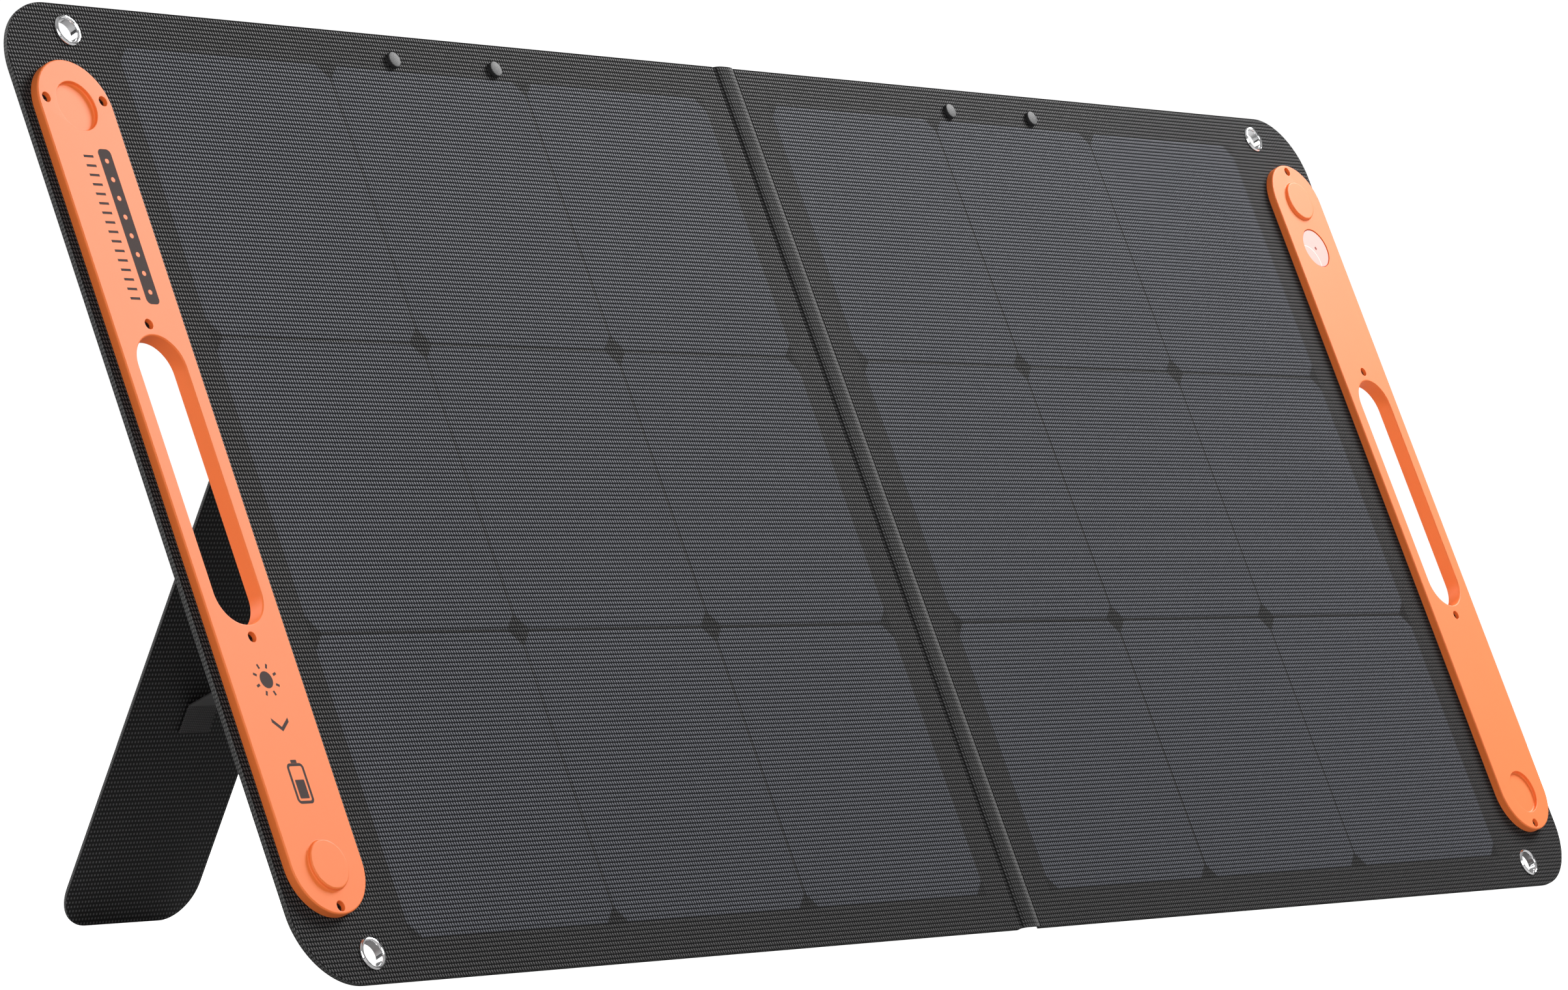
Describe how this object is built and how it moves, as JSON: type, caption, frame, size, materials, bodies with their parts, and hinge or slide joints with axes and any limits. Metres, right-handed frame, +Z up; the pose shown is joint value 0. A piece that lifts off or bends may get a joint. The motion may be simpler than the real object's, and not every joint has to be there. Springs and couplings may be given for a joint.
{
  "type": "folding solar panel",
  "caption": "Two-half folding camping solar panel with hand slots, a sun-angle dial, corner eyelets and strap-stayed kickstands, standing open.",
  "frame": {"origin": "on the ground, at the centre of the bounding box's base", "axes": "+X along the width to the right half, +Y backwards towards the kickstand feet, +Z up; the panel's face leans back towards +Y"},
  "size_m": [1.22, 0.4536, 0.4942],
  "materials": {
    "laminate_board": "matt",
    "front_sheet": "woven-look satin",
    "solar_cell": "smooth",
    "fold_fabric": "woven-look satin",
    "orange_plastic": "soft satin",
    "bright_metal": "polished",
    "dark_metal": "blackened",
    "kickstand_fabric": "woven",
    "webbing": "woven",
    "dial_plastic": "frosted",
    "black_plastic": "matt"
  },
  "bodies": {
    "left_half": {"left_board": "laminate_board", "left_front_sheet": "front_sheet", "left_cell_row1_column1": "solar_cell", "left_cell_row1_column2": "solar_cell", "left_cell_row1_column3": "solar_cell", "left_cell_row2_column1": "solar_cell", "left_cell_row2_column2": "solar_cell", "left_cell_row2_column3": "solar_cell", "left_cell_row3_column1": "solar_cell", "left_cell_row3_column2": "solar_cell", "left_cell_row3_column3": "solar_cell", "left_handle": "orange_plastic", "left_handle_back_plate": "orange_plastic", "left_handle_screw_1": "dark_metal", "left_handle_screw_2": "dark_metal", "left_handle_screw_3": "dark_metal", "left_handle_screw_4": "dark_metal", "left_handle_screw_5": "dark_metal", "left_closure_keeper": "dark_metal", "left_closure_magnet": "dark_metal", "left_eyelet_bottom": "bright_metal", "left_eyelet_top": "bright_metal", "left_rivet_a": "dark_metal", "left_rivet_b": "dark_metal", "left_hinge_tape": "kickstand_fabric", "left_stay_strap": "webbing", "junction_box": "black_plastic", "output_socket": "black_plastic"},
    "fold_spine": {"fold_strip": "fold_fabric"},
    "right_half": {"right_board": "laminate_board", "right_front_sheet": "front_sheet", "right_cell_row1_column1": "solar_cell", "right_cell_row1_column2": "solar_cell", "right_cell_row1_column3": "solar_cell", "right_cell_row2_column1": "solar_cell", "right_cell_row2_column2": "solar_cell", "right_cell_row2_column3": "solar_cell", "right_cell_row3_column1": "solar_cell", "right_cell_row3_column2": "solar_cell", "right_cell_row3_column3": "solar_cell", "right_handle": "orange_plastic", "right_handle_back_plate": "orange_plastic", "right_handle_screw_1": "dark_metal", "right_handle_screw_2": "dark_metal", "right_handle_screw_3": "dark_metal", "right_handle_screw_4": "dark_metal", "right_closure_keeper": "dark_metal", "right_closure_magnet": "dark_metal", "right_eyelet_bottom": "bright_metal", "right_eyelet_top": "bright_metal", "right_rivet_a": "dark_metal", "right_rivet_b": "dark_metal", "right_hinge_tape": "kickstand_fabric", "right_stay_strap": "webbing", "sun_dial_target": "dial_plastic", "sun_dial_lens": "dial_plastic"},
    "left_kickstand": {"left_kickstand_board": "kickstand_fabric"},
    "right_kickstand": {"right_kickstand_board": "kickstand_fabric"}
  },
  "joints": [
    {"name": "spine_fold", "type": "hinge", "parent": "left_half", "child": "fold_spine", "pos_m": [-0.00535, -0.11648, 0.24731], "axis": [0, -0.4051, -0.9143], "range_deg": [0, 90]},
    {"name": "panel_fold", "type": "hinge", "parent": "fold_spine", "child": "right_half", "pos_m": [0.00535, -0.11648, 0.24731], "axis": [0, -0.4051, -0.9143], "range_deg": [0, 90]},
    {"name": "left_kickstand_hinge", "type": "hinge", "parent": "left_half", "child": "left_kickstand", "pos_m": [-0.2605, -0.00363, 0.48716], "axis": [-1, 0, 0], "range_deg": [0, 49.01], "deforming": ["left_stay_strap"]},
    {"name": "right_kickstand_hinge", "type": "hinge", "parent": "right_half", "child": "right_kickstand", "pos_m": [0.2605, -0.00363, 0.48716], "axis": [-1, 0, 0], "range_deg": [0, 49.01], "deforming": ["right_stay_strap"]}
  ]
}
